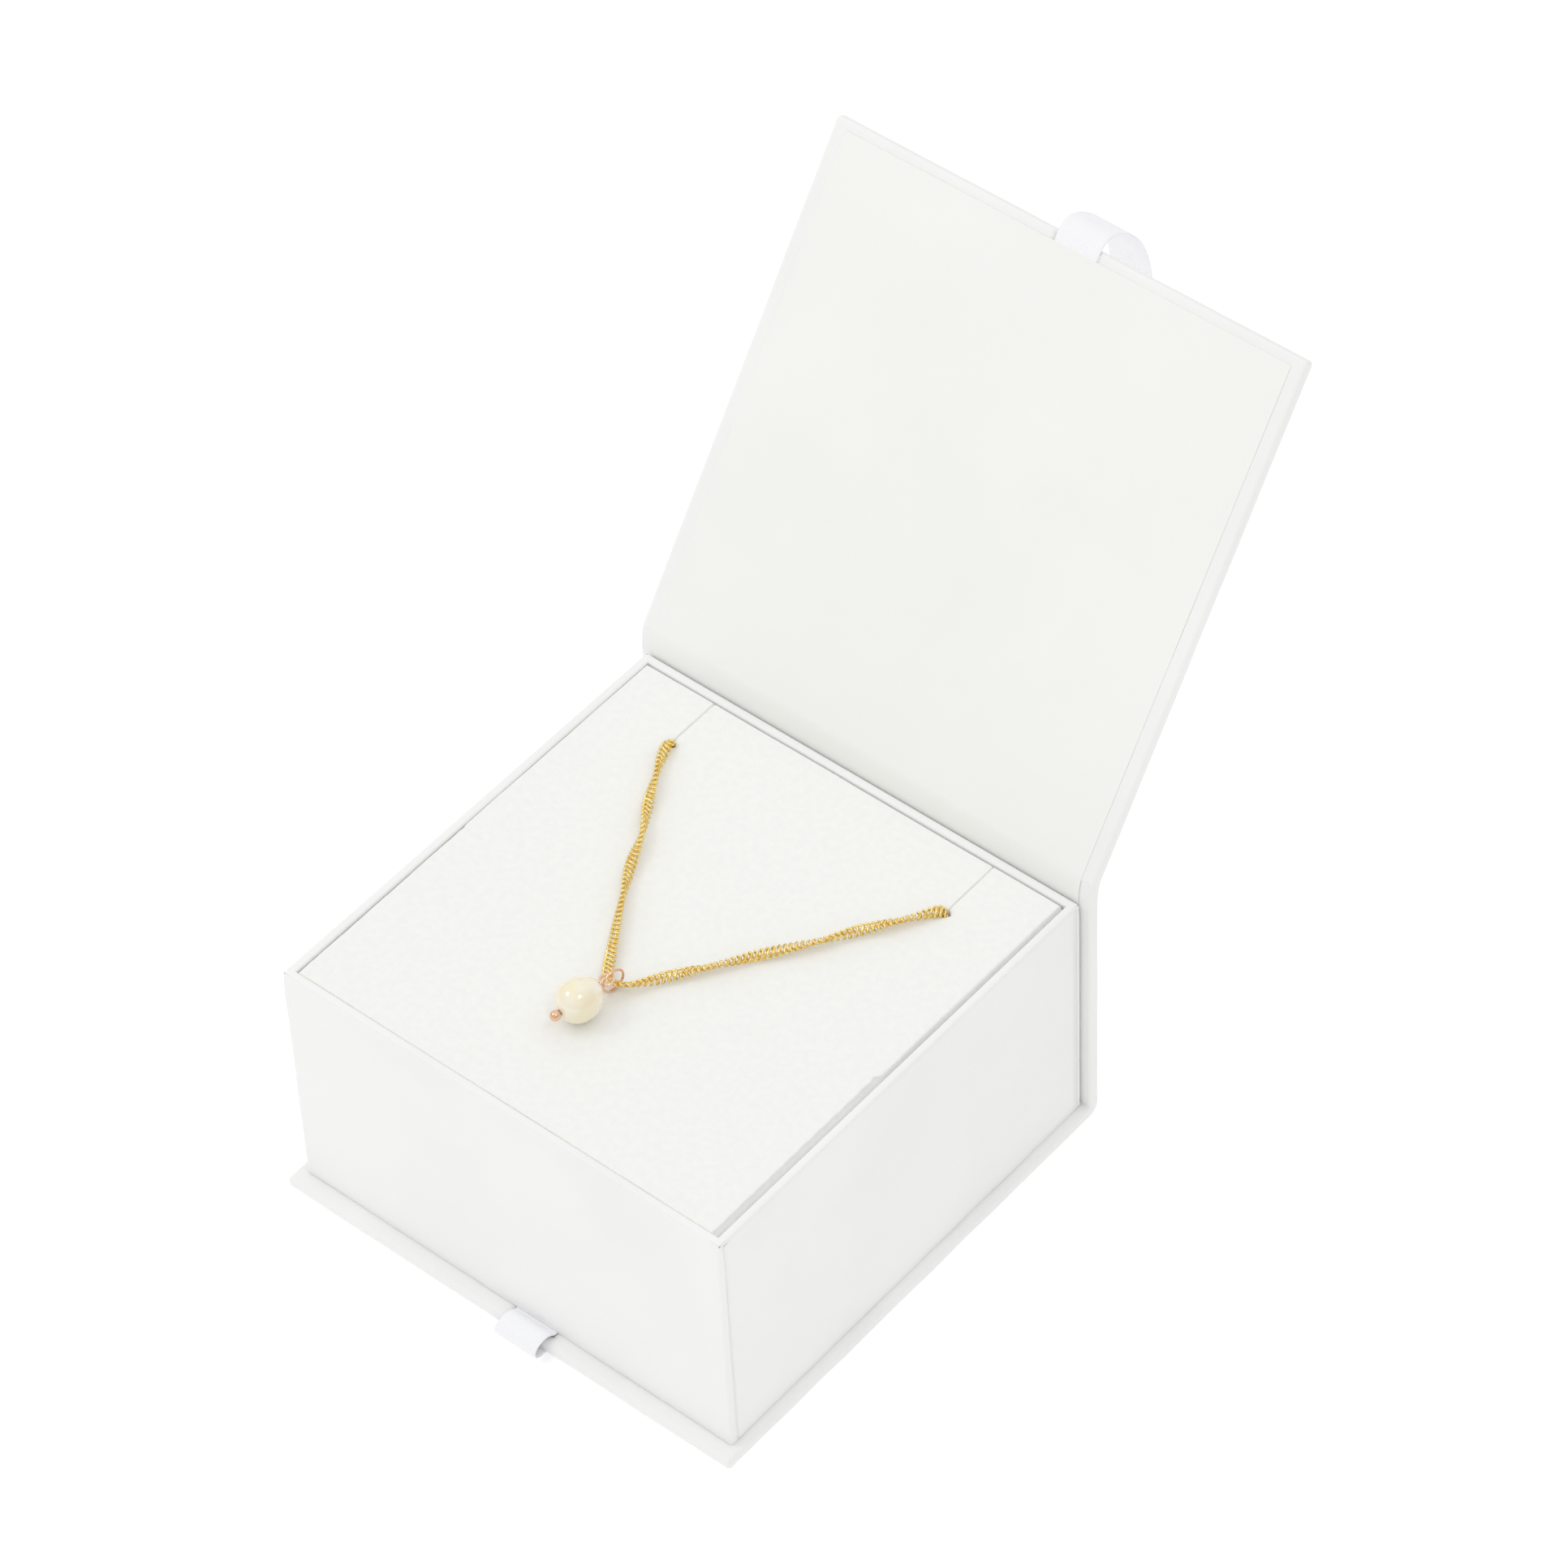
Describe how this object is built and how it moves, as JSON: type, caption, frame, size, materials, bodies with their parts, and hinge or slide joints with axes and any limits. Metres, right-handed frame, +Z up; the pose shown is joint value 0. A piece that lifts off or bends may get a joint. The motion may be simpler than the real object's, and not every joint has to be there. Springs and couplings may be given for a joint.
{
  "type": "jewelry gift box",
  "caption": "Book-style rigid paper gift box with a hinged lid, foam insert, tie ribbons and a fine chain with a pearl drop.",
  "frame": {"origin": "centre of the case's rectangular footprint, on its underside", "axes": "+Z up, +X to the right seen from the open front, +Y towards the spine and lid hinge"},
  "size_m": [0.0786, 0.1372, 0.1094],
  "materials": {
    "greyboard": "matte",
    "white_wrap_paper": "matte",
    "white_liner_paper": "matte",
    "kraft_stay_paper": "matte",
    "white_foam": "matte",
    "grosgrain_ribbon": "satin",
    "gold_chain_metal": "polished",
    "rose_gold_metal": "polished",
    "pearl_nacre": "gloss"
  },
  "bodies": {
    "base": {"base_board": "greyboard", "base_wrap": "white_wrap_paper", "base_fold": "white_wrap_paper", "spine_board": "greyboard", "spine_wrap": "white_wrap_paper", "spine_liner": "white_liner_paper", "hinge_wrap": "white_wrap_paper", "hinge_liner": "white_liner_paper", "tray_floor": "greyboard", "tray_front_wall": "greyboard", "tray_back_wall": "greyboard", "tray_left_wall": "greyboard", "tray_right_wall": "greyboard", "tray_corner_stays": "kraft_stay_paper", "tray_wrap": "white_wrap_paper", "foam_riser": "white_foam", "foam_pad": "white_foam", "base_ribbon": "grosgrain_ribbon", "chain_left_tail": "gold_chain_metal", "chain_right_tail": "gold_chain_metal", "chain_coil": "gold_chain_metal", "clasp": "gold_chain_metal", "clasp_ring": "gold_chain_metal"},
    "lid": {"lid_board": "greyboard", "lid_wrap": "white_wrap_paper", "lid_liner": "white_liner_paper", "lid_ribbon": "grosgrain_ribbon"},
    "necklace": {"chain_front": "gold_chain_metal", "pearl": "pearl_nacre", "head_pin": "rose_gold_metal", "bail": "rose_gold_metal"}
  },
  "joints": [
    {"name": "lid_hinge", "type": "hinge", "parent": "base", "child": "lid", "pos_m": [0, 0.03841, 0.04468], "axis": [-1, 0, 0], "range_deg": [-126.1, 0], "deforming": ["hinge_wrap", "hinge_liner"]},
    {"name": "necklace_press", "type": "hinge", "parent": "base", "child": "necklace", "pos_m": [0, 0.03841, 0.04468], "axis": [-1, 0, 0], "range_deg": [-7.3, 0], "deforming": ["foam_pad", "chain_left_tail", "chain_right_tail"]}
  ],
  "couplings": [
    {"joint": "necklace_press", "follows": "lid_hinge", "ratio": 0.057098}
  ]
}
